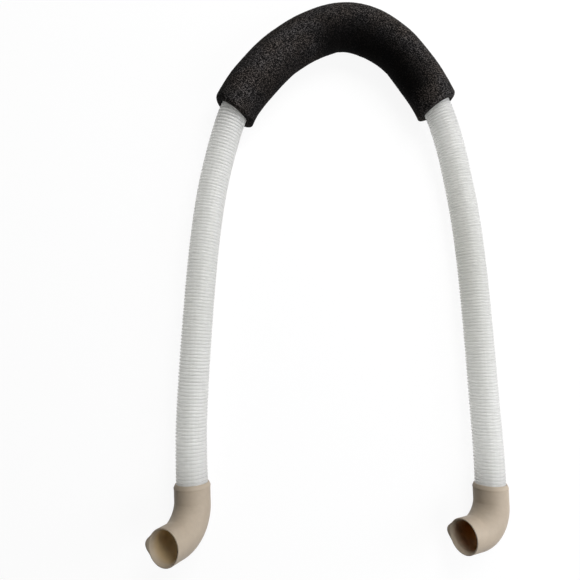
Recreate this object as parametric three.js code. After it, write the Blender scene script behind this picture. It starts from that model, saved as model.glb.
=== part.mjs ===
// A washing machine drain hose: a ribbed translucent hose bent into an arch, a foam sleeve over
// the arch and a rubber elbow cuff on each end. Millimetres, +Z up, lying flat on z = 0, with
// the arch towards +Y and the ends towards -Y.
import * as THREE from 'three';

// Hose
const HOSE_RADIUS = 16;
const RIB_PITCH = 3.5;
const RIB_DEPTH = 1.3;
const HOSE_WALL = 1.1;
const BORE_STEP = 20;

// Foam sleeve over the arch
const SLEEVE_WALL = 10;
const SLEEVE_END_PINCH = 1.3;
const SLEEVE_PINCH_LENGTH = 60;
const SLEEVE_EDGE_ROUND = 4;
const SLEEVE_CUT_SLANT = 0.13;
const SLEEVE_SLANT_LENGTH = 40;
const SLEEVE_START = 399.5;
const SLEEVE_LENGTH = 323;
const SLEEVE_STEP = 10;
const RIBS_INTO_SLEEVE = 10;

// Elbow cuffs, two of the same moulding
const CUFF_WALL = 1.9;
const CUFF_BEAD = 0.3;
const CUFF_BEAD_LENGTH = 8;
const BEAD_FOOT = 1;
const LIP_CHAMFER_LENGTH = 4;
const LIP_CHAMFER_DEPTH = 1.6;
const ELBOW_LEG = 47;
const ELBOW_THROW = 45.5;
const ELBOW_BEND_RADIUS = 29;
const ELBOW_BEND_SWELL = 0.8;
const SOCKET_DEPTH = 18;
const PASSAGE_RADIUS = 14;
const MOUTH_RADIUS = 17.8;
const MOUTH_BORE_RADIUS = 15.3;
const MOUTH_BORE_DEPTH = 16;
const MOUTH_TAPER_LENGTH = 4;
const MOUTH_EDGE_CHAMFER = 0.5;
const TAB_REACH = 3.9;
const TAB_THICKNESS = 5;
const TAB_FOOT = 1;
const TAB_HALF_ANGLE = 33;
const TAB_TURN = 4;

// How the two ends lie, in degrees: each mouth's rise above the floor
const LEFT_MOUTH_RISE = 58;
const RIGHT_MOUTH_RISE = 24.5;

// Clearances
const FIT_GAP = 0.3;
const FLOOR_GAP = 0.3;

// Facets
const HOSE_SIDES = 10;
const ROUND_SIDES = 20;
const BEND_STEPS = 6;
const LEAST_STEP = 1;

const CUFF_BORE = HOSE_RADIUS + FIT_GAP;
const CUFF_RADIUS = CUFF_BORE + CUFF_WALL;
const BEAD_RADIUS = CUFF_RADIUS + CUFF_BEAD;
const SLEEVE_BORE = HOSE_RADIUS + FIT_GAP;
const SLEEVE_RADIUS = SLEEVE_BORE + SLEEVE_WALL;
const ROOT_RADIUS = HOSE_RADIUS - RIB_DEPTH;
const HOSE_BORE = ROOT_RADIUS - HOSE_WALL;

// Heights of the hose's centreline: on the floor, in the cuffs and in the sleeve
const LOW = HOSE_RADIUS + FLOOR_GAP;
const CUFF = BEAD_RADIUS;
const HIGH = SLEEVE_RADIUS;
const between = (a, b, share) => a + (b - a) * share;

// Where the hose enters each cuff, and the level direction in which it runs on into it
const leftLip = new THREE.Vector3(-148.6, -227.8, CUFF);
const rightLip = new THREE.Vector3(169.1, -237.5, CUFF);
const leftInward = new THREE.Vector3(0.05, -1, 0).normalize();
const rightInward = new THREE.Vector3(0, -1, 0);
const STRAIGHT_OUT = 14;
const along = (from, direction, distance) => from.clone().addScaledVector(direction, distance);

// The hose's route between the cuffs, by hand, from the left end over the arch to the right end
const route = [
  [-150.6, -177.4, between(LOW, CUFF, 0.35)],
  [-150.1, -141.4, LOW],
  [-147.9, -84.4, LOW],
  [-144.8, -26.4, LOW],
  [-140.6, 27.6, LOW],
  [-133.9, 80.6, between(LOW, HIGH, 0.12)],
  [-123.1, 129.6, between(LOW, HIGH, 0.6)],
  [-111.7, 166.6, between(LOW, HIGH, 0.95)],
  [-100.2, 188.6, HIGH],
  [-84.7, 209.6, HIGH],
  [-64.2, 233.1, HIGH],
  [-38.2, 254.6, HIGH],
  [-9.7, 270.1, HIGH],
  [18.8, 276.6, HIGH],
  [45.8, 271.1, HIGH],
  [72.3, 254.1, HIGH],
  [95.3, 228.1, HIGH],
  [120.8, 187.6, between(LOW, HIGH, 0.95)],
  [136.3, 146.6, between(LOW, HIGH, 0.6)],
  [148.3, 98.6, between(LOW, HIGH, 0.12)],
  [156.1, 48.6, LOW],
  [161, -7.4, LOW],
  [164.1, -63.4, LOW],
  [166.5, -117.4, LOW],
  [168.5, -167.4, LOW],
  [169.1, -195.4, between(LOW, CUFF, 0.5)],
].map(([x, y, z]) => new THREE.Vector3(x, y, z));

const hoseCurve = new THREE.CatmullRomCurve3([
  along(leftLip, leftInward, SOCKET_DEPTH),
  leftLip,
  along(leftLip, leftInward, -STRAIGHT_OUT),
  ...route,
  along(rightLip, rightInward, -STRAIGHT_OUT),
  rightLip,
  along(rightLip, rightInward, SOCKET_DEPTH),
], false, 'centripetal');
hoseCurve.arcLengthDivisions = 3000;
const hoseLength = hoseCurve.getLength();

// Centre, side and up of the hose's section at a distance from its left end
const UP = new THREE.Vector3(0, 0, 1);
function hoseFrame(distance) {
  const share = THREE.MathUtils.clamp(distance / hoseLength, 0, 1);
  const tangent = hoseCurve.getTangentAt(share);
  const side = new THREE.Vector3().crossVectors(tangent, UP).normalize();
  const up = new THREE.Vector3().crossVectors(side, tangent);
  return { centre: hoseCurve.getPointAt(share), side, up };
}

// Turns a closed profile of [radius, distance] points, and lays the turned solid along a path.
// stretch(radius, distance, angle) is what a point stands out beyond the round form, and
// slant(distance) is how far its section runs ahead for each millimetre to the side.
function turnAlong(profile, sides, frameAt, { stretch = () => 0, slant = () => 0 } = {}) {
  const closed = [...profile, profile[0]].map(([radius, distance]) => new THREE.Vector2(radius, distance));
  const geometry = new THREE.LatheGeometry(closed, sides);
  const positions = geometry.getAttribute('position');
  const point = new THREE.Vector3();
  for (let i = 0; i < positions.count; i += 1) {
    point.fromBufferAttribute(positions, i);
    const distance = point.y;
    const angle = Math.atan2(point.z, point.x);
    const round = Math.hypot(point.x, point.z);
    const radius = round + stretch(round, distance, angle);
    const { centre, side, up } = frameAt(distance + slant(distance) * round * Math.cos(angle));
    point.copy(centre)
      .addScaledVector(side, radius * Math.cos(angle))
      .addScaledVector(up, radius * Math.sin(angle));
    positions.setXYZ(i, point.x, point.y, point.z);
  }
  geometry.computeVertexNormals();
  return geometry;
}

// Evenly spaced distances from one to another, both included, no more than a step apart
function stations(from, to, step) {
  const count = Math.ceil((to - from) / step - 1e-6);
  return Array.from({ length: count + 1 }, (_, i) => between(from, to, i / count));
}

const leftLipAt = SOCKET_DEPTH;
const rightLipAt = hoseLength - SOCKET_DEPTH;
const sleeveFrom = leftLipAt + SLEEVE_START;
const sleeveTo = sleeveFrom + SLEEVE_LENGTH;
const sleeveStations = stations(sleeveFrom, sleeveTo, SLEEVE_STEP);

// Crest and root points of the ribs between two distances
function ribs(from, to) {
  const count = Math.round((to - from) / RIB_PITCH);
  const pitch = (to - from) / count;
  return Array.from({ length: count }, (_, i) => [
    [HOSE_RADIUS, from + i * pitch],
    [ROOT_RADIUS, from + (i + 0.5) * pitch],
  ]).flat();
}

// The hose is ribbed where it shows. It is plain in the cuffs, and in the sleeve past its ends.
function drainHose() {
  const ribsIn = RIB_PITCH;
  const ribStarts = [leftLipAt - ribsIn, sleeveTo - RIBS_INTO_SLEEVE];
  const ribEnds = [sleeveFrom + RIBS_INTO_SLEEVE, rightLipAt + ribsIn];
  const covered = sleeveStations.filter((s) => s > ribEnds[0] + LEAST_STEP && s < ribStarts[1] - LEAST_STEP);
  const outside = [
    [HOSE_RADIUS, 0],
    ...ribs(ribStarts[0], ribEnds[0]),
    [HOSE_RADIUS, ribEnds[0]],
    ...covered.map((s) => [HOSE_RADIUS, s]),
    ...ribs(ribStarts[1], ribEnds[1]),
    [HOSE_RADIUS, ribEnds[1]],
    [HOSE_RADIUS, hoseLength],
  ];
  const inside = [
    ...stations(0, ribEnds[0], BORE_STEP),
    ...covered,
    ...stations(ribStarts[1], hoseLength, BORE_STEP),
  ].map((s) => [HOSE_BORE, s]);
  return turnAlong([...outside, ...inside.reverse()], HOSE_SIDES, hoseFrame);
}

// The sleeve's outer radius, a little less towards its two ends
function sleeveRadiusAt(distance) {
  const fromEnd = Math.min(distance - sleeveFrom, sleeveTo - distance);
  const pinched = 1 - THREE.MathUtils.smoothstep(fromEnd, 0, SLEEVE_PINCH_LENGTH);
  return SLEEVE_RADIUS - SLEEVE_END_PINCH * pinched;
}

function foamSleeve() {
  const roundShares = [0, 0.5, 1];
  const roundedEnd = (end, inward) => roundShares.map((share) => {
    const turn = share * Math.PI / 2;
    const distance = end + inward * SLEEVE_EDGE_ROUND * (1 - Math.cos(turn));
    return [sleeveRadiusAt(distance) - SLEEVE_EDGE_ROUND * (1 - Math.sin(turn)), distance];
  });
  const edge = SLEEVE_EDGE_ROUND + LEAST_STEP;
  const middle = sleeveStations
    .filter((s) => s > sleeveFrom + edge && s < sleeveTo - edge)
    .map((s) => [sleeveRadiusAt(s), s]);
  const outside = [...roundedEnd(sleeveFrom, 1), ...middle, ...roundedEnd(sleeveTo, -1).reverse()];
  const inside = sleeveStations.map((s) => [SLEEVE_BORE, s]);
  // Both ends are cut a little aslant, longer on the inside of the arch
  const slant = (distance) => {
    const fromEnd = Math.min(distance - sleeveFrom, sleeveTo - distance);
    const nearEnd = 1 - THREE.MathUtils.smoothstep(fromEnd, 0, SLEEVE_SLANT_LENGTH);
    return SLEEVE_CUT_SLANT * nearEnd * (distance < (sleeveFrom + sleeveTo) / 2 ? -1 : 1);
  };
  return turnAlong([...outside, ...inside.reverse()], ROUND_SIDES, hoseFrame, { slant });
}

// An elbow's path: a straight leg from the lip, a quarter bend and a straight throw to the mouth
const bendFrom = ELBOW_LEG - ELBOW_BEND_RADIUS;
const bendTo = bendFrom + ELBOW_BEND_RADIUS * Math.PI / 2;
const mouthAt = bendTo + ELBOW_THROW - ELBOW_BEND_RADIUS;

function elbowFrames(lip, inward, mouthRise) {
  const level = new THREE.Vector3().crossVectors(inward, UP).normalize();
  const legUp = new THREE.Vector3().crossVectors(level, inward);
  const rise = THREE.MathUtils.degToRad(mouthRise);
  const outward = level.clone().multiplyScalar(Math.cos(rise)).addScaledVector(legUp, Math.sin(rise));
  const hinge = new THREE.Vector3().crossVectors(inward, outward);
  const bendCentre = along(along(lip, inward, bendFrom), outward, ELBOW_BEND_RADIUS);
  const frameAt = (distance) => {
    const turn = THREE.MathUtils.clamp((distance - bendFrom) / ELBOW_BEND_RADIUS, 0, Math.PI / 2);
    const centre = bendCentre.clone()
      .addScaledVector(outward, -ELBOW_BEND_RADIUS * Math.cos(turn))
      .addScaledVector(inward, ELBOW_BEND_RADIUS * Math.sin(turn))
      .addScaledVector(inward, Math.min(distance - bendFrom, 0))
      .addScaledVector(outward, Math.max(distance - bendTo, 0));
    return {
      centre,
      side: level.clone().applyAxisAngle(hinge, turn),
      up: legUp.clone().applyAxisAngle(hinge, turn),
    };
  };
  return { frameAt, rise };
}

function elbowCuff(lip, inward, mouthRise) {
  const { frameAt, rise } = elbowFrames(lip, inward, mouthRise);
  const bend = stations(bendFrom, bendTo, (bendTo - bendFrom) / BEND_STEPS);
  const swell = (s) => ELBOW_BEND_SWELL * Math.sin(Math.PI * (s - bendFrom) / (bendTo - bendFrom));
  const bodyRadiusAt = (s) => between(CUFF_RADIUS, MOUTH_RADIUS, s / mouthAt);
  const seatAt = SOCKET_DEPTH + FIT_GAP;
  const mouthBoreTo = mouthAt - MOUTH_BORE_DEPTH;
  const passageTo = mouthBoreTo - MOUTH_TAPER_LENGTH;
  const tabFrom = mouthAt - TAB_THICKNESS;
  const outside = [
    [BEAD_RADIUS - LIP_CHAMFER_DEPTH, 0],
    [BEAD_RADIUS, LIP_CHAMFER_LENGTH],
    [BEAD_RADIUS, CUFF_BEAD_LENGTH],
    [bodyRadiusAt(CUFF_BEAD_LENGTH + BEAD_FOOT), CUFF_BEAD_LENGTH + BEAD_FOOT],
    ...bend.map((s) => [bodyRadiusAt(s) + swell(s), s]),
    [MOUTH_RADIUS, tabFrom - TAB_FOOT],
    [MOUTH_RADIUS, tabFrom],
    [MOUTH_RADIUS, mouthAt - MOUTH_EDGE_CHAMFER],
    [MOUTH_RADIUS - MOUTH_EDGE_CHAMFER, mouthAt],
  ];
  const inside = [
    [MOUTH_BORE_RADIUS, mouthAt],
    [MOUTH_BORE_RADIUS, mouthBoreTo],
    [PASSAGE_RADIUS, passageTo],
    ...bend
      .filter((s) => s > seatAt + LEAST_STEP && s < passageTo - LEAST_STEP)
      .reverse()
      .map((s) => [PASSAGE_RADIUS, s]),
    [PASSAGE_RADIUS, seatAt],
    [CUFF_BORE, seatAt],
    [CUFF_BORE, 0],
  ];
  // The locating tab is a lobe on the side of the rim that lies lowest
  const tabAngle = rise - Math.PI / 2 + THREE.MathUtils.degToRad(TAB_TURN);
  const tabHalfAngle = THREE.MathUtils.degToRad(TAB_HALF_ANGLE);
  const lobe = (radius, distance, angle) => {
    if (radius <= MOUTH_BORE_RADIUS || distance < tabFrom) return 0;
    const away = Math.abs(Math.atan2(Math.sin(angle - tabAngle), Math.cos(angle - tabAngle)));
    return TAB_REACH * (1 - THREE.MathUtils.smoothstep(away, 0, tabHalfAngle));
  };
  return turnAlong([...outside, ...inside], ROUND_SIDES, frameAt, { stretch: lobe });
}

const foam = new THREE.MeshStandardMaterial({ color: 0x2b2929, roughness: 0.97, metalness: 0 });
const translucentPlastic = new THREE.MeshStandardMaterial({
  color: 0xd9dad3,
  roughness: 0.45,
  metalness: 0,
});
const tanRubber = new THREE.MeshStandardMaterial({ color: 0xb8a893, roughness: 0.6, metalness: 0 });

function piece(name, geometry, material) {
  const mesh = new THREE.Mesh(geometry, material);
  mesh.name = name;
  return mesh;
}

const drainHoseAssembly = new THREE.Group();
drainHoseAssembly.add(
  piece('corrugated_hose', drainHose(), translucentPlastic),
  piece('foam_sleeve', foamSleeve(), foam),
  piece('left_elbow_cuff', elbowCuff(leftLip, leftInward, LEFT_MOUTH_RISE), tanRubber),
  piece('right_elbow_cuff', elbowCuff(rightLip, rightInward, RIGHT_MOUTH_RISE), tanRubber),
);

export default drainHoseAssembly;
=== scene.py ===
"""The looks of a washing machine drain hose: a ribbed translucent hose bent into an arch, a foam
sleeve over the arch and a rubber elbow cuff on each end. Metres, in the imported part's frame."""
import math

import bpy
import numpy as np
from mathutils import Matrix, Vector, noise

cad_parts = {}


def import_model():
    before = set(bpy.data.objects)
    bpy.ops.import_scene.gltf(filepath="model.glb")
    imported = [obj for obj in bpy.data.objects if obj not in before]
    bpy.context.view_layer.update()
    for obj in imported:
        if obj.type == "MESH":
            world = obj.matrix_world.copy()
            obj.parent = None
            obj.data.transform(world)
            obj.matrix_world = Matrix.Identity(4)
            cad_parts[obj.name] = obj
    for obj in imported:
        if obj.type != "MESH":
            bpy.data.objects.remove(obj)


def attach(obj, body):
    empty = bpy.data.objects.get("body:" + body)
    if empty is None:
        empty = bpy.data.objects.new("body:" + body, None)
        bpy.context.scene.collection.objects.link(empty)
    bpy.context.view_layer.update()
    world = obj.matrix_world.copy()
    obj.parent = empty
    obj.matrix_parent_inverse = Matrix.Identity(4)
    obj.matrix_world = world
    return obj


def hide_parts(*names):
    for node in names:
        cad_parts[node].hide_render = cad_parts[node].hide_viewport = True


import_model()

MM = 0.001
WHITE = 1.0
ROUNDING = 1e-6
BODY = "root"

# The photograph's camera: its frame and focal length in pixels, its place and its two tilts
FRAME_PX = 580
FOCAL_PX = 490
CAMERA_AT = (-0.10647, -0.09567, 0.54317)
CAMERA_PITCH = math.radians(7.07)
CAMERA_LEAN = math.radians(-6.28)

# Hose
HOSE_RADIUS = 16 * MM
RIB_PITCH = 3.5 * MM
RIB_DEPTH = 1.1 * MM
# The higher, the narrower the grooves are beside the crests
RIB_NARROWING = 2.5
RIB_RINGS = 8
HOSE_BORE = 13.6 * MM
HOSE_SIDES = 44
HOSE_PLAIN_STEP = 10 * MM

# Foam sleeve
SLEEVE_BORE = 16.3 * MM
SLEEVE_RADIUS = 25.8 * MM
SLEEVE_START = 396.8 * MM
SLEEVE_LENGTH = 325.7 * MM
SLEEVE_END_PINCH = 1.3 * MM
SLEEVE_PINCH_LENGTH = 60 * MM
SLEEVE_EDGE_ROUND = 3.2 * MM
SLEEVE_BORE_FLARE = 1.2 * MM
SLEEVE_FLARE_LENGTH = 8 * MM
# How each end is cut aslant, to the inside of the arch and to the top
LEFT_CUT_SLANT = (-0.24, 0)
RIGHT_CUT_SLANT = (0.13, -0.11)
SLEEVE_SLANT_LENGTH = 40 * MM
SLEEVE_STEP = 1.0 * MM
SLEEVE_BORE_STEP = 4 * MM
SLEEVE_SIDES = 150
SLEEVE_EDGE_RINGS = 6
RIBS_INTO_SLEEVE = 10 * MM
# Where the foam buckles on the inside of the arch: how far along it, how wide and how deep
DENTS = [
    (90 * MM, 30 * MM, 0.9 * MM),
    (162 * MM, 9 * MM, 1.6 * MM),
    (205 * MM, 18 * MM, -1.8 * MM),
    (253 * MM, 26 * MM, 4.0 * MM),
]
# The higher, the less far a dent reaches round the sleeve
DENT_ROUND = 3
# Painted shade on the inside of the arch: how far along it, and between which shares of its width,
# from -1 at the outside of the arch to 1 at the inside
FOAM_SHADE_FROM = 90 * MM
FOAM_SHADE_FULL = 150 * MM
FOAM_SHADE_LESS = 290 * MM
FOAM_SHADE_TO = 322 * MM
FOAM_SHADE_ROUND = (-0.7, 0.8)
FOAM_SHADE_SHARE = 0.92
# Painted shade along both flanks of its left stretch, between two shares of its half width
FLANK_SHADE_TO = 190 * MM
FLANK_SHADE_ROUND = (0.2, 0.85)
FLANK_SHADE_SHARE = 0.55

# Elbow cuffs
CUFF_BORE = 16.3 * MM
CUFF_RADIUS = 18.2 * MM
BEAD = 0.3 * MM
BEAD_LENGTH = 4.5 * MM
BEAD_FOOT = 0.4 * MM
LIP_CHAMFER_LENGTH = 3.6 * MM
LIP_CHAMFER_DEPTH = 1.6 * MM
LIP_EDGE = 0.4 * MM
ELBOW_LEG = 47 * MM
ELBOW_THROW = 45.5 * MM
ELBOW_BEND_RADIUS = 29 * MM
ELBOW_BEND_SWELL = 0.8 * MM
SOCKET_DEPTH = 18 * MM
SOCKET_GAP = 0.3 * MM
PASSAGE_RADIUS = 14 * MM
MOUTH_RADIUS = 17.8 * MM
MOUTH_BORE_RADIUS = 15.3 * MM
MOUTH_BORE_DEPTH = 16 * MM
MOUTH_TAPER_LENGTH = 4 * MM
MOUTH_LEAD_IN = 1.2 * MM
MOUTH_LEAD_IN_LENGTH = 5 * MM
RIM_ROUND = 0.6 * MM
RIM_RINGS = 5
RIM_INNER_RADIUS = MOUTH_BORE_RADIUS + MOUTH_LEAD_IN + RIM_ROUND / 2
TAB_REACH = 3.9 * MM
TAB_THICKNESS = 5 * MM
TAB_FOOT = 1.5 * MM
TAB_HALF_ANGLE = math.radians(33)
TAB_TURN = math.radians(4)
ELBOW_SIDES = 96
ELBOW_STEP = 1.2 * MM

# Where each cuff's lip is, the level way into it, and how far its mouth rises above the floor
CUFF_HEIGHT = 18.5 * MM
LEFT_LIP = (-0.1486, -0.2278, CUFF_HEIGHT)
LEFT_INWARD = (0.05, -1, 0)
LEFT_MOUTH_RISE = math.radians(58)
RIGHT_LIP = (0.1691, -0.2375, CUFF_HEIGHT)
RIGHT_INWARD = (0, -1, 0)
RIGHT_MOUTH_RISE = math.radians(24.5)
STRAIGHT_OUT = 14 * MM

# Heights of the hose's centreline: on the floor, and in the sleeve
LOW = 16.3 * MM
HIGH = 26.3 * MM


def between(a, b, share):
    return a + (b - a) * share


# The hose's route between the cuffs, from the left end over the arch to the right end
ROUTE = [
    (-0.1506, -0.1774, between(LOW, CUFF_HEIGHT, 0.35)),
    (-0.1501, -0.1414, LOW),
    (-0.1479, -0.0844, LOW),
    (-0.1448, -0.0264, LOW),
    (-0.1406, 0.0276, LOW),
    (-0.1339, 0.0806, between(LOW, HIGH, 0.12)),
    (-0.1231, 0.1296, between(LOW, HIGH, 0.6)),
    (-0.1117, 0.1666, between(LOW, HIGH, 0.95)),
    (-0.1002, 0.1886, HIGH),
    (-0.0847, 0.2096, HIGH),
    (-0.0642, 0.2331, HIGH),
    (-0.0382, 0.2546, HIGH),
    (-0.0097, 0.2701, HIGH),
    (0.0188, 0.2766, HIGH),
    (0.0458, 0.2711, HIGH),
    (0.0723, 0.2541, HIGH),
    (0.0953, 0.2281, HIGH),
    (0.1208, 0.1876, between(LOW, HIGH, 0.95)),
    (0.1363, 0.1466, between(LOW, HIGH, 0.6)),
    (0.1483, 0.0986, between(LOW, HIGH, 0.12)),
    (0.1561, 0.0486, LOW),
    (0.1610, -0.0074, LOW),
    (0.1641, -0.0634, LOW),
    (0.1665, -0.1174, LOW),
    (0.1685, -0.1674, LOW),
    (0.1691, -0.1954, between(LOW, CUFF_HEIGHT, 0.5)),
]
SAMPLES_A_SPAN = 240


def unit(v):
    v = np.asarray(v, float)
    return v / np.linalg.norm(v, axis=-1, keepdims=True)


def smoothstep(x, low, high):
    t = np.clip((x - low) / (high - low), 0, 1)
    return t * t * (3 - 2 * t)


def steps(start, end, step):
    """Evenly spaced distances, both ends included, no more than a step apart."""
    return np.linspace(start, end, math.ceil((end - start) / step - ROUNDING) + 1)


def camera():
    data = bpy.data.cameras.new("camera")
    data.lens = data.sensor_width * FOCAL_PX / FRAME_PX
    eye = bpy.data.objects.new("camera", data)
    eye.location = CAMERA_AT
    eye.rotation_euler = (CAMERA_PITCH, CAMERA_LEAN, 0)
    bpy.context.scene.collection.objects.link(eye)
    bpy.context.scene.camera = eye


class Path:
    """A line through dense points, with the centre, side and up of a section at any distance."""

    def __init__(self, points):
        self.points = points
        gaps = np.linalg.norm(np.diff(points, axis=0), axis=1)
        self.at = np.concatenate([[0], np.cumsum(gaps)])
        self.length = self.at[-1]
        self.tangents = unit(np.gradient(points, self.at, axis=0))

    def section(self, distance):
        centre, tangent = (
            np.stack([np.interp(distance, self.at, line[:, k]) for k in range(3)], axis=-1)
            for line in (self.points, self.tangents)
        )
        side = unit(np.cross(tangent, (0, 0, 1)))
        return centre, side, np.cross(side, unit(tangent))


def catmull_rom(points):
    """The dense points of the centripetal Catmull-Rom curve through the points."""
    points = np.array(points, float)
    held = np.vstack([2 * points[0] - points[1], points, 2 * points[-1] - points[-2]])
    t = np.linspace(0, 1, SAMPLES_A_SPAN, endpoint=False)[:, None]
    line = []
    for a, b, c, d in zip(held, held[1:], held[2:], held[3:]):
        ab, bc, cd = (np.linalg.norm(q - p) ** 0.5 for p, q in ((a, b), (b, c), (c, d)))
        out = ((b - a) / ab - (c - a) / (ab + bc) + (c - b) / bc) * bc
        into = ((c - b) / bc - (d - b) / (bc + cd) + (d - c) / cd) * bc
        line.append(
            b + out * t + (3 * (c - b) - 2 * out - into) * t**2
            + (2 * (b - c) + out + into) * t**3
        )
    return np.vstack([*line, points[-1:]])


def hose_path():
    left, right = np.array(LEFT_LIP), np.array(RIGHT_LIP)
    left_in, right_in = unit(LEFT_INWARD), unit(RIGHT_INWARD)
    return Path(catmull_rom([
        left + left_in * SOCKET_DEPTH,
        left,
        left - left_in * STRAIGHT_OUT,
        *ROUTE,
        right - right_in * STRAIGHT_OUT,
        right,
        right + right_in * SOCKET_DEPTH,
    ]))


def turned(profile, sides, section, stretch=None, slant=None):
    """Turns a closed profile of (radius, distance) points and lays it along a path.
    Returns the points, the faces, and the points' places on the piece as if it lay straight.
    stretch(radius, distance, angle) is what a point stands out beyond the round form, and
    slant(distance) how far its section runs ahead for each metre to the side and for each up."""
    radius, distance = (np.array(profile)[:, k, None] for k in (0, 1))
    angle = np.linspace(0, 2 * np.pi, sides, endpoint=False)[None, :]
    ahead = distance + np.zeros_like(angle)
    if slant:
        by_side, by_up = slant(distance)
        ahead = ahead + radius * (by_side * np.cos(angle) + by_up * np.sin(angle))
    if stretch:
        radius = radius + stretch(radius, distance, angle)
    across, high = radius * np.cos(angle), radius * np.sin(angle)
    centre, side, up = section(ahead)
    points = centre + side * across[..., None] + up * high[..., None]
    straight = np.stack([ahead, across + 0 * ahead, high + 0 * ahead], axis=-1)
    here = np.arange(len(profile) * sides).reshape(len(profile), sides)
    on, round_it = np.roll(here, -1, 0), np.roll(here, -1, 1)
    both = np.roll(on, -1, 1)
    faces = np.stack([here, round_it, both, on], axis=-1).reshape(-1, 4)
    return points.reshape(-1, 3), faces, straight.reshape(-1, 3)


def volume(points, faces):
    a, b, c, d = (points[faces[:, k]] for k in range(4))
    return float((np.cross(a, b) * c).sum() + (np.cross(a, c) * d).sum()) / 6


def make_piece(name, shape, materials, slot, node, inner=None, **values):
    """A smooth piece that rides on the body, stands for a CAD node and keeps its straight places.
    The inner faces, where given, wear the second material."""
    points, faces, straight = shape
    if volume(points, faces) < 0:
        faces = faces[:, ::-1]
    mesh = bpy.data.meshes.new(name)
    mesh.from_pydata(points.tolist(), [], faces.tolist())
    mesh.attributes.new("straight", "FLOAT_VECTOR", "POINT").data.foreach_set("vector", straight.ravel())
    for key, value in values.items():
        mesh.attributes.new(key, "FLOAT", "POINT").data.foreach_set("value", value.ravel())
    mesh.shade_smooth()
    for material in materials:
        mesh.materials.append(material)
    if inner is not None:
        mesh.polygons.foreach_set("material_index", inner.astype(np.int32))
    piece = bpy.data.objects.new(name, mesh)
    bpy.context.scene.collection.objects.link(piece)
    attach(piece, BODY)
    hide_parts(node)
    return piece


class Nodes:
    """A new material on a Principled shader, with its nodes made and linked in one call each."""

    def __init__(self, name, **settings):
        self.material = bpy.data.materials.new(name)
        self.material.use_nodes = True
        self.tree = self.material.node_tree
        self.shader = self.tree.nodes["Principled BSDF"]
        for key, value in settings.items():
            self.shader.inputs[key.replace("_", " ").title().replace("Ior", "IOR")].default_value = value

    def add(self, kind, inputs=(), **settings):
        node = self.tree.nodes.new(kind)
        for key, value in settings.items():
            setattr(node, key, value)
        for key, value in dict(inputs).items():
            self.set(node.inputs[key], value)
        return node

    def set(self, socket, value):
        if isinstance(value, bpy.types.NodeSocket):
            self.tree.links.new(value, socket)
        else:
            socket.default_value = value

    def attribute(self, name):
        return self.add("ShaderNodeAttribute", attribute_name=name)

    def noise(self, size, place, detail=2.0, stretched=(1, 1, 1)):
        """Noise with grains of about a size, in metres, drawn out along each axis by a factor."""
        scaled = self.add("ShaderNodeMapping", {
            "Vector": place,
            "Scale": tuple(1 / (size * by) for by in stretched),
        })
        grain = self.add("ShaderNodeTexNoise", {
            "Vector": scaled.outputs["Vector"],
            "Scale": 1.0,
            "Detail": detail,
        })
        return grain.outputs["Fac"]

    def ramp(self, value, *stops):
        """Colours at shares of the value, from (share, colour) stops."""
        ramp = self.add("ShaderNodeValToRGB", {"Fac": value})
        while len(ramp.color_ramp.elements) < len(stops):
            ramp.color_ramp.elements.new(1.0)
        for element, (share, colour) in zip(ramp.color_ramp.elements, stops):
            element.position = share
            element.color = (*colour, 1)
        return ramp.outputs["Color"]

    def mix(self, share, a, b, blend="MIX"):
        mixed = self.add("ShaderNodeMix", data_type="RGBA", blend_type=blend)
        for index, value in ((0, share), (6, a), (7, b)):
            plain = isinstance(value, tuple)
            self.set(mixed.inputs[index], (*value, 1) if plain else value)
        return mixed.outputs[2]

    def bump(self, height, depth):
        inputs = {"Height": height, "Distance": depth, "Strength": 1.0}
        return self.add("ShaderNodeBump", inputs).outputs["Normal"]

    def finish(self, colour, normal):
        self.set(self.shader.inputs["Base Color"], colour)
        self.set(self.shader.inputs["Normal"], normal)
        return self.material


# Translucent hose: milky white with faint drawn-out streaks, painted light in the grooves on its two
# flanks over the shade that falls in them, and stretches of painted shade
PLASTIC_PALE = (0.885, 0.885, 0.868)
PLASTIC_DULL = (0.835, 0.835, 0.812)
# The colour the painted shade darkens the hose to
PLASTIC_PAINTED_SHADE = (0.70, 0.70, 0.665)
PLASTIC_STOPS = [(0.3, PLASTIC_DULL), (0.62, PLASTIC_PALE)]
PLASTIC_STREAK = 2.5 * MM
PLASTIC_STREAK_DRAWN_OUT = (14, 1, 1)
PLASTIC_GRAIN = 1.2 * MM
PLASTIC_GRAIN_DEPTH = 0.05 * MM
PLASTIC_LETS_THROUGH = 0.5
GROOVE_PAINTED_LIGHT = (0.92, 0.92, 0.91)
# From and to which share of the hose's half width the painted light in the grooves comes on
GROOVE_LIGHT_ROUND = (0.2, 0.8)
# Stretches of painted shade, darkest on the side facing into the arch: how far along it, how wide and how
# much
PAINTED_SHADE_STRETCHES = [(210 * MM, 90 * MM, 0.25), (925 * MM, 120 * MM, 0.65)]
# The share of that painted shade on the side facing out of the arch
PAINTED_SHADE_OUTSIDE_SHARE = 0.3


def hose_plastic():
    """Its light goes through the wall: what falls on one side shows on the other."""
    nodes = Nodes("hose_plastic", roughness=0.2, specular_ior_level=0.85)
    place = nodes.attribute("straight").outputs["Vector"]
    streaks = nodes.noise(PLASTIC_STREAK, place, stretched=PLASTIC_STREAK_DRAWN_OUT)
    colour = nodes.ramp(streaks, *PLASTIC_STOPS)
    # The grooves on the hose's two flanks take a paler colour: painted light over the shade in them
    groove = nodes.attribute("groove").outputs["Fac"]
    colour = nodes.mix(groove, colour, GROOVE_PAINTED_LIGHT)
    # Painted shade over some stretches of the hose
    colour = nodes.mix(nodes.attribute("aged").outputs["Fac"], colour, PLASTIC_PAINTED_SHADE)
    skin = nodes.bump(nodes.noise(PLASTIC_GRAIN, place), PLASTIC_GRAIN_DEPTH)
    through = nodes.add("ShaderNodeBsdfTranslucent", {"Color": colour})
    milky = mix_shaders(nodes.tree, PLASTIC_LETS_THROUGH, nodes.shader, through)
    output = nodes.tree.nodes["Material Output"].inputs["Surface"]
    nodes.set(output, milky.outputs[0])
    return nodes.finish(colour, skin)


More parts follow.
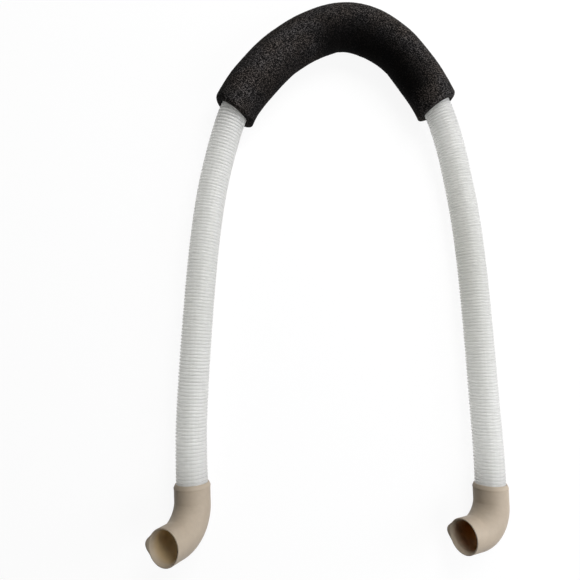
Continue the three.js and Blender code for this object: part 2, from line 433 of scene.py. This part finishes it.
def hose_bore():
    """The wall's milkiness is all in its outer skin, so its bore is clear."""
    material = bpy.data.materials.new("hose_bore")
    material.use_nodes = True
    tree = material.node_tree
    tree.nodes.remove(tree.nodes["Principled BSDF"])
    clear = shader_node(tree, "ShaderNodeBsdfTransparent", WHITE)
    tree.links.new(clear.outputs[0], tree.nodes["Material Output"].inputs["Surface"])
    return material


# Foam: charcoal, with fine pale and black grain over slow warm and cool patches, and painted shade
FOAM_BLACK = (0.0025, 0.0025, 0.0025)
FOAM_GREY = (0.0175, 0.0162, 0.0153)
FOAM_PALE = (0.147, 0.136, 0.128)
# Painted shade, near black
FOAM_PAINTED_SHADE = (0.001, 0.001, 0.001)
FOAM_WARM = (1.06, 0.985, 0.94)
FOAM_COOL = (0.98, 0.985, 1.03)
FOAM_STOPS = [(0.43, FOAM_BLACK), (0.52, FOAM_GREY), (0.64, FOAM_PALE)]
FOAM_TINT_STOPS = [(0.38, FOAM_COOL), (0.62, FOAM_WARM)]
FOAM_CELL = 1.05 * MM
FOAM_CELL_DEPTH = 0.5 * MM
FOAM_PATCH = 22 * MM


def sleeve_foam():
    nodes = Nodes("sleeve_foam", roughness=0.9, specular_ior_level=0.04)
    place = nodes.attribute("straight").outputs["Vector"]
    grain = nodes.noise(FOAM_CELL, place)
    colour = nodes.ramp(grain, *FOAM_STOPS)
    tint = nodes.ramp(nodes.noise(FOAM_PATCH, place), *FOAM_TINT_STOPS)
    colour = nodes.mix(1.0, colour, tint, "MULTIPLY")
    # Painted shade on the inside of the arch and on the flanks of its left stretch
    colour = nodes.mix(nodes.attribute("squeezed").outputs["Fac"], colour, FOAM_PAINTED_SHADE)
    return nodes.finish(colour, nodes.bump(grain, FOAM_CELL_DEPTH))


# Rubber: pale tan, faintly mottled, with a fine matt skin
RUBBER_TAN = (0.545, 0.457, 0.352)
RUBBER_DULL = (0.52, 0.435, 0.334)
RUBBER_STOPS = [(0.35, RUBBER_DULL), (0.6, RUBBER_TAN)]
RUBBER_MOTTLE = 6 * MM
RUBBER_GRAIN = 0.7 * MM
RUBBER_GRAIN_DEPTH = 0.06 * MM
# The colour down in each mouth, painted light, paler and warmer, in the left one and dark brown painted
# shade in the right one, and how far in it comes on
LEFT_MOUTH_PAINTED_LIGHT = (0.71, 0.55, 0.325)
RIGHT_MOUTH_PAINTED_SHADE = (0.46, 0.19, 0.035)
LEFT_MOUTH_PAINT_REACH = (0.5 * MM, 11 * MM)
RIGHT_MOUTH_PAINT_REACH = (0.5 * MM, 24 * MM)


def cuff_rubber(name, mouth_paint):
    nodes = Nodes(name, roughness=0.5, specular_ior_level=0.25)
    place = nodes.attribute("straight").outputs["Vector"]
    mottle = nodes.noise(RUBBER_MOTTLE, place, detail=5.0)
    colour = nodes.ramp(mottle, *RUBBER_STOPS)
    # The mouth's painted colour, deeper in from the rim: painted light in the left cuff, painted shade in
    # the right
    colour = nodes.mix(nodes.attribute("depth").outputs["Fac"], colour, mouth_paint)
    skin = nodes.bump(nodes.noise(RUBBER_GRAIN, place, detail=3.0), RUBBER_GRAIN_DEPTH)
    return nodes.finish(colour, skin)


# The left lip is a socket's depth along the hose, and the sleeve lies from there
LEFT_LIP_AT = SOCKET_DEPTH
SLEEVE_FROM = LEFT_LIP_AT + SLEEVE_START
SLEEVE_TO = SLEEVE_FROM + SLEEVE_LENGTH


def ribbed(start, end):
    """Distances along a ribbed stretch and how deep the groove is at each, as a share."""
    count = round((end - start) / RIB_PITCH)
    turns = np.linspace(0, count, count * RIB_RINGS, endpoint=False)
    depth = ((1 - np.cos(2 * np.pi * turns)) / 2) ** RIB_NARROWING
    return between(start, end, turns / count), depth


def hose(path, materials):
    right_lip_at = path.length - SOCKET_DEPTH
    covered_from = SLEEVE_FROM + RIBS_INTO_SLEEVE
    covered_to = SLEEVE_TO - RIBS_INTO_SLEEVE
    stretches = [
        (steps(0, LEFT_LIP_AT - RIB_PITCH, HOSE_PLAIN_STEP)[:-1], None),
        ribbed(LEFT_LIP_AT - RIB_PITCH, covered_from),
        (steps(covered_from, covered_to, HOSE_PLAIN_STEP)[:-1], None),
        ribbed(covered_to, right_lip_at + RIB_PITCH),
        (steps(right_lip_at + RIB_PITCH, path.length, HOSE_PLAIN_STEP), None),
    ]
    distance = np.concatenate([at for at, _ in stretches])
    groove = np.concatenate([np.zeros_like(at) if depth is None else depth for at, depth in stretches])
    outside = np.stack([HOSE_RADIUS - RIB_DEPTH * groove, distance], axis=1)
    back = steps(0, path.length, HOSE_PLAIN_STEP)[::-1]
    inside = np.stack([np.full_like(back, HOSE_BORE), back], axis=1)
    shape = turned(np.vstack([outside, inside]), HOSE_SIDES, path.section)
    _, faces, straight = shape
    along = straight[:, 0]
    to_inside = straight[:, 1] / HOSE_RADIUS
    # Painted light in the grooves, on the hose's two flanks only
    groove_painted_light = np.repeat(np.concatenate([groove, np.zeros_like(back)]), HOSE_SIDES)
    groove_painted_light = groove_painted_light * smoothstep(np.abs(to_inside), *GROOVE_LIGHT_ROUND)
    # Painted shade over given stretches, less on the side facing out of the arch
    aged = sum(share * np.exp(-(((along - at) / wide) ** 2)) for at, wide, share in PAINTED_SHADE_STRETCHES)
    aged = aged * between(PAINTED_SHADE_OUTSIDE_SHARE, 1, smoothstep(to_inside, -1, 1))
    ring = np.arange(len(faces)) // HOSE_SIDES
    bore_faces = (ring >= len(outside)) & (ring < ring[-1])
    piece = make_piece(
        "ribbed_hose",
        shape,
        materials,
        "translucent_plastic",
        "corrugated_hose",
        inner=bore_faces,
        groove=groove_painted_light,
        aged=aged,
    )
    return piece, path.section(distance)[0]


# The foam's surface: grains in the mesh itself, and slow unevenness of a soft tube bent by hand
FOAM_GRAIN = 1.3 * MM
FOAM_GRAIN_DEPTH = 0.22 * MM
FOAM_WAVE = 24 * MM
FOAM_WAVE_DEPTH = 0.35 * MM


def from_sleeve_end(distance):
    return np.minimum(distance - SLEEVE_FROM, SLEEVE_TO - distance)


def sleeve_radius(distance):
    """The outer radius, a little less towards the two ends."""
    pinched = 1 - smoothstep(from_sleeve_end(distance), 0, SLEEVE_PINCH_LENGTH)
    return SLEEVE_RADIUS - SLEEVE_END_PINCH * pinched


def sleeve_bore(distance):
    """The bore's radius, a little more at the two ends."""
    flared = 1 - smoothstep(from_sleeve_end(distance), 0, SLEEVE_FLARE_LENGTH)
    return SLEEVE_BORE + SLEEVE_BORE_FLARE * flared


def sleeve_end(end, inward):
    """Across a cut face, from the bore to the rounded outer edge."""
    face_to = sleeve_radius(end) - SLEEVE_EDGE_ROUND
    face = [(r, end) for r in steps(sleeve_bore(end), face_to, SLEEVE_STEP)[:-1]]
    turn = np.linspace(0, np.pi / 2, SLEEVE_EDGE_RINGS)
    at = end + inward * SLEEVE_EDGE_ROUND * (1 - np.cos(turn))
    edge = sleeve_radius(at) - SLEEVE_EDGE_ROUND * (1 - np.sin(turn))
    return [*face, *zip(edge, at)]


def sleeve_slant(distance):
    near_end = 1 - smoothstep(from_sleeve_end(distance), 0, SLEEVE_SLANT_LENGTH)
    first_half = distance < (SLEEVE_FROM + SLEEVE_TO) / 2
    return [near_end * np.where(first_half, *cuts) for cuts in zip(LEFT_CUT_SLANT, RIGHT_CUT_SLANT)]


def sleeve_dents(radius, distance, angle):
    """Less foam at the dents, on the outer skin of the side that faces into the arch."""
    outer = radius > SLEEVE_BORE + SLEEVE_EDGE_ROUND
    inward = np.maximum(np.cos(angle), 0) ** DENT_ROUND * outer
    return -sum(
        depth * inward * np.exp(-np.abs(distance - SLEEVE_FROM - at) / wide)
        for at, wide, depth in DENTS
    )


def uneven_foam(path, points, straight):
    """The points with the foam's grain and waves, but none under the floor."""
    centre, _, _ = path.section(straight[:, 0])
    outward = unit(points - centre)
    outer = np.linalg.norm(straight[:, 1:], axis=1) > SLEEVE_BORE + 2 * SLEEVE_BORE_FLARE
    grain = np.array([noise.noise(Vector(p) / FOAM_GRAIN) for p in straight])
    wave = np.array([noise.noise(Vector(p) / FOAM_WAVE) for p in straight])
    lift = (FOAM_GRAIN_DEPTH * grain + FOAM_WAVE_DEPTH * wave) * outer
    points = points + outward * lift[:, None]
    points[:, 2] = np.maximum(points[:, 2], 0)
    return points


def squeezed_foam(straight):
    """How much painted shade the foam takes at each point, on the inside of the arch and on the flanks of
    its left stretch.
    """
    along = straight[:, 0] - SLEEVE_FROM
    to_inside = straight[:, 1] / SLEEVE_RADIUS
    squeezed = smoothstep(along, FOAM_SHADE_FROM, FOAM_SHADE_FULL)
    squeezed = squeezed * (1 - smoothstep(along, FOAM_SHADE_LESS, FOAM_SHADE_TO))
    squeezed = FOAM_SHADE_SHARE * squeezed * smoothstep(to_inside, *FOAM_SHADE_ROUND)
    flank_shade = smoothstep(np.abs(to_inside), *FLANK_SHADE_ROUND) * (1 - smoothstep(along, FOAM_SHADE_FROM, FLANK_SHADE_TO))
    return np.maximum(squeezed, FLANK_SHADE_SHARE * flank_shade)


def sleeve(path, material):
    start, end = SLEEVE_FROM + SLEEVE_EDGE_ROUND, SLEEVE_TO - SLEEVE_EDGE_ROUND
    middle = steps(start, end, SLEEVE_STEP)[1:-1]
    back = steps(SLEEVE_FROM, SLEEVE_TO, SLEEVE_BORE_STEP)[::-1][1:-1]
    profile = [
        *sleeve_end(SLEEVE_FROM, 1),
        *zip(sleeve_radius(middle), middle),
        *sleeve_end(SLEEVE_TO, -1)[::-1],
        *zip(sleeve_bore(back), back),
    ]
    points, faces, straight = turned(
        profile, SLEEVE_SIDES, path.section, stretch=sleeve_dents, slant=sleeve_slant
    )
    return make_piece(
        "sleeve_over_arch",
        (uneven_foam(path, points, straight), faces, straight),
        [material],
        "foam",
        "foam_sleeve",
        squeezed=squeezed_foam(straight),
    )


class Elbow:
    """A leg from the lip, a quarter bend and a throw to the mouth, which looks up from the floor."""

    bend_from = ELBOW_LEG - ELBOW_BEND_RADIUS
    bend_to = bend_from + ELBOW_BEND_RADIUS * math.pi / 2
    mouth_at = bend_to + ELBOW_THROW - ELBOW_BEND_RADIUS

    def __init__(self, lip, inward, mouth_rise):
        self.lip = np.array(lip)
        self.inward = unit(inward)
        self.rise = mouth_rise
        self.level = unit(np.cross(self.inward, (0, 0, 1)))
        self.leg_up = np.cross(self.level, self.inward)
        self.outward = math.cos(mouth_rise) * self.level + math.sin(mouth_rise) * self.leg_up

    def section(self, distance):
        distance = np.asarray(distance)
        turn = np.clip((distance - self.bend_from) / ELBOW_BEND_RADIUS, 0, np.pi / 2)[..., None]
        before = np.minimum(distance - self.bend_from, 0)[..., None]
        after = np.maximum(distance - self.bend_to, 0)[..., None]
        bend_start = self.lip + self.inward * self.bend_from
        centre = (
            bend_start
            + self.inward * (ELBOW_BEND_RADIUS * np.sin(turn) + before)
            + self.outward * (ELBOW_BEND_RADIUS * (1 - np.cos(turn)) + after)
        )
        return centre, self.turned_by(self.level, turn), self.turned_by(self.leg_up, turn)

    def turned_by(self, v, turn):
        """A direction across the leg, turned with the bend."""
        hinge = np.cross(self.inward, self.outward)
        along = self.outward * np.cos(turn) - self.inward * np.sin(turn)
        return (v @ self.outward) * along + (v @ hinge) * hinge

    def body_radius(self, distance):
        in_bend = (distance - self.bend_from) / (self.bend_to - self.bend_from)
        swell = ELBOW_BEND_SWELL * np.sin(np.pi * np.clip(in_bend, 0, 1))
        return between(CUFF_RADIUS, MOUTH_RADIUS, distance / self.mouth_at) + swell

    def bead(self, distance):
        """The bead at the hose end, with its chamfered lip and its soft foot."""
        lip = np.clip(1 - distance / LIP_CHAMFER_LENGTH, 0, 1) * LIP_CHAMFER_DEPTH
        foot = 1 - smoothstep(distance, BEAD_LENGTH, BEAD_LENGTH + BEAD_FOOT)
        return BEAD * foot - lip

    def tab(self, radius, distance, angle):
        """The locating tab, a lobe on the side of the rim that lies lowest."""
        low_side = self.rise - np.pi / 2 + TAB_TURN
        away = np.abs((angle - low_side + np.pi) % (2 * np.pi) - np.pi)
        lobe = 1 - smoothstep(away, 0, TAB_HALF_ANGLE)
        tab_from = self.mouth_at - TAB_THICKNESS
        near_mouth = smoothstep(distance, tab_from - TAB_FOOT, tab_from)
        return TAB_REACH * lobe * near_mouth * (radius > RIM_INNER_RADIUS)

    def profile(self):
        """Points of (radius, distance), out over the skin to the mouth and back through the bore."""
        outer = steps(RIM_ROUND, self.mouth_at - RIM_ROUND, ELBOW_STEP / 2)
        lip = [(CUFF_BORE, 0), (CUFF_BORE + LIP_EDGE, 0)]
        quarter = np.linspace(0, np.pi / 2, RIM_RINGS)[1:]
        rim = self.mouth_at - RIM_ROUND
        rounded = zip(
            MOUTH_RADIUS - RIM_ROUND * (1 - np.cos(quarter)), rim + RIM_ROUND * np.sin(quarter)
        )
        mouth_floor = self.mouth_at - MOUTH_BORE_DEPTH
        seat = SOCKET_DEPTH + SOCKET_GAP
        passage_to = mouth_floor - MOUTH_TAPER_LENGTH
        socket = steps(mouth_floor, self.mouth_at - RIM_ROUND / 2, ELBOW_STEP / 2)[::-1]
        lead_in = 1 - smoothstep(self.mouth_at - socket, 0, MOUTH_LEAD_IN_LENGTH)
        taper = steps(passage_to, mouth_floor, ELBOW_STEP)[::-1][1:-1]
        narrowed = between(PASSAGE_RADIUS, MOUTH_BORE_RADIUS, smoothstep(taper, passage_to, mouth_floor))
        passage = steps(seat, passage_to, ELBOW_STEP)[::-1]
        return [
            *lip,
            *zip(self.body_radius(outer) + self.bead(outer), outer),
            *rounded,
            (RIM_INNER_RADIUS, self.mouth_at),
            *zip(MOUTH_BORE_RADIUS + MOUTH_LEAD_IN * lead_in, socket),
            *zip(narrowed, taper),
            *((PASSAGE_RADIUS, at) for at in passage),
            *((CUFF_BORE, at) for at in steps(ELBOW_STEP, seat, ELBOW_STEP)[::-1]),
        ]


def elbow(name, node, material, lip, inward, mouth_rise, mouth_paint_reach):
    """A cuff, whose inside takes the mouth's painted colour over a reach in from the rim: painted light
    in the left mouth, painted shade in the right.
    """
    bent = Elbow(lip, inward, mouth_rise)
    profile = bent.profile()
    shape = turned(profile, ELBOW_SIDES, bent.section, stretch=bent.tab)
    radius, distance = np.array(profile).T
    inside = (radius <= RIM_INNER_RADIUS) & (distance > SOCKET_DEPTH)
    # How much of the mouth's painted colour each point inside takes
    depth = smoothstep(bent.mouth_at - distance, *mouth_paint_reach) * inside
    return make_piece(
        name, shape, [material], "tan_rubber", node, depth=np.repeat(depth, ELBOW_SIDES)
    )


# Floor, world and lamps. To the camera the floor is pale with a share of plain white glow, which
# thins its shadow, and to light it is a grey that gives little back.
FLOOR_HALF = 4.0
FLOOR_DROP = 0.2 * MM
FLOOR_SEEN = 0.95
FLOOR_GLOW = 0.88
FLOOR_GLOW_STRENGTH = 1.04
FLOOR_BOUNCE = 0.4
SKY_LIGHT = 0.03
SKY_SEEN = 1.0
LAMP_SIZE = 0.7
# Each lamp's place, watts and colour
LAMPS = {
    "back_lamp": ((0.286, 0.785, 0.996), 10.4, (1, 1, 1)),
    "right_lamp": ((1.178, 0.0, 0.549), 5.4, (0.98, 0.99, 1.06)),
    "front_lamp": ((0.640, -0.537, 0.996), 2.9, (1, 1, 1)),
    "near_lamp": ((0.600, -0.250, 0.500), 0.8, (0.98, 0.99, 1.06)),
}


def seen_directly(tree):
    """1 for rays from the camera, in reflections and through clear material, and 0 for light."""
    light = tree.nodes.new("ShaderNodeLightPath")
    seen = light.outputs["Is Camera Ray"]
    for other in ("Is Glossy Ray", "Is Transmission Ray"):
        either = tree.nodes.new("ShaderNodeMath")
        either.operation = "MAXIMUM"
        tree.links.new(seen, either.inputs[0])
        tree.links.new(light.outputs[other], either.inputs[1])
        seen = either.outputs["Value"]
    return seen


def shader_node(tree, kind, grey):
    made = tree.nodes.new(kind)
    made.inputs["Color"].default_value = (grey, grey, grey, 1)
    return made


def mix_shaders(tree, share, a, b):
    mixed = tree.nodes.new("ShaderNodeMixShader")
    if isinstance(share, float):
        mixed.inputs[0].default_value = share
    else:
        tree.links.new(share, mixed.inputs[0])
    tree.links.new(a.outputs[0], mixed.inputs[1])
    tree.links.new(b.outputs[0], mixed.inputs[2])
    return mixed


def floor():
    """A pale floor that shows white with a faint shadow, and gives back only some light."""
    mesh = bpy.data.meshes.new("floor")
    signs = [(-1, -1), (1, -1), (1, 1), (-1, 1)]
    corners = [(FLOOR_HALF * x, FLOOR_HALF * y, -FLOOR_DROP) for x, y in signs]
    mesh.from_pydata(corners, [], [(0, 1, 2, 3)])
    material = bpy.data.materials.new("floor")
    material.use_nodes = True
    tree = material.node_tree
    tree.nodes.remove(tree.nodes["Principled BSDF"])
    bounce = shader_node(tree, "ShaderNodeBsdfDiffuse", FLOOR_BOUNCE)
    pale = shader_node(tree, "ShaderNodeBsdfDiffuse", FLOOR_SEEN)
    glow = shader_node(tree, "ShaderNodeEmission", WHITE)
    glow.inputs["Strength"].default_value = FLOOR_GLOW_STRENGTH
    shown = mix_shaders(tree, FLOOR_GLOW, pale, glow)
    surface = mix_shaders(tree, seen_directly(tree), bounce, shown)
    tree.links.new(surface.outputs[0], tree.nodes["Material Output"].inputs["Surface"])
    mesh.materials.append(material)
    made = bpy.data.objects.new("floor", mesh)
    bpy.context.scene.collection.objects.link(made)


def world():
    made = bpy.data.worlds.new("world")
    made.use_nodes = True
    tree = made.node_tree
    sky = tree.nodes["Background"]
    sky.inputs["Color"].default_value = (WHITE, WHITE, WHITE, 1)
    strength = tree.nodes.new("ShaderNodeMapRange")
    tree.links.new(seen_directly(tree), strength.inputs["Value"])
    strength.inputs["To Min"].default_value = SKY_LIGHT
    strength.inputs["To Max"].default_value = SKY_SEEN
    tree.links.new(strength.outputs["Result"], sky.inputs["Strength"])
    bpy.context.scene.world = made


def lamps():
    """Soft lamps about the part, each turned to its middle."""
    for name, (at, watts, colour) in LAMPS.items():
        data = bpy.data.lights.new(name, "AREA")
        data.energy = watts
        data.color = colour
        data.size = LAMP_SIZE
        lamp = bpy.data.objects.new(name, data)
        lamp.location = at
        lamp.rotation_euler = (-Vector(at)).to_track_quat("-Z", "Y").to_euler()
        bpy.context.scene.collection.objects.link(lamp)


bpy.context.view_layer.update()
bpy.context.scene.view_settings.view_transform = "Standard"
camera()

path = hose_path()
tube, ring_centres = hose(path, [hose_plastic(), hose_bore()])
foam = sleeve(path, sleeve_foam())
elbow(
    "left_elbow",
    "left_elbow_cuff",
    cuff_rubber("left_cuff_rubber", LEFT_MOUTH_PAINTED_LIGHT),
    LEFT_LIP,
    LEFT_INWARD,
    LEFT_MOUTH_RISE,
    LEFT_MOUTH_PAINT_REACH,
)
elbow(
    "right_elbow",
    "right_elbow_cuff",
    cuff_rubber("right_cuff_rubber", RIGHT_MOUTH_PAINTED_SHADE),
    RIGHT_LIP,
    RIGHT_INWARD,
    RIGHT_MOUTH_RISE,
    RIGHT_MOUTH_PAINT_REACH,
)

floor()
world()
lamps()
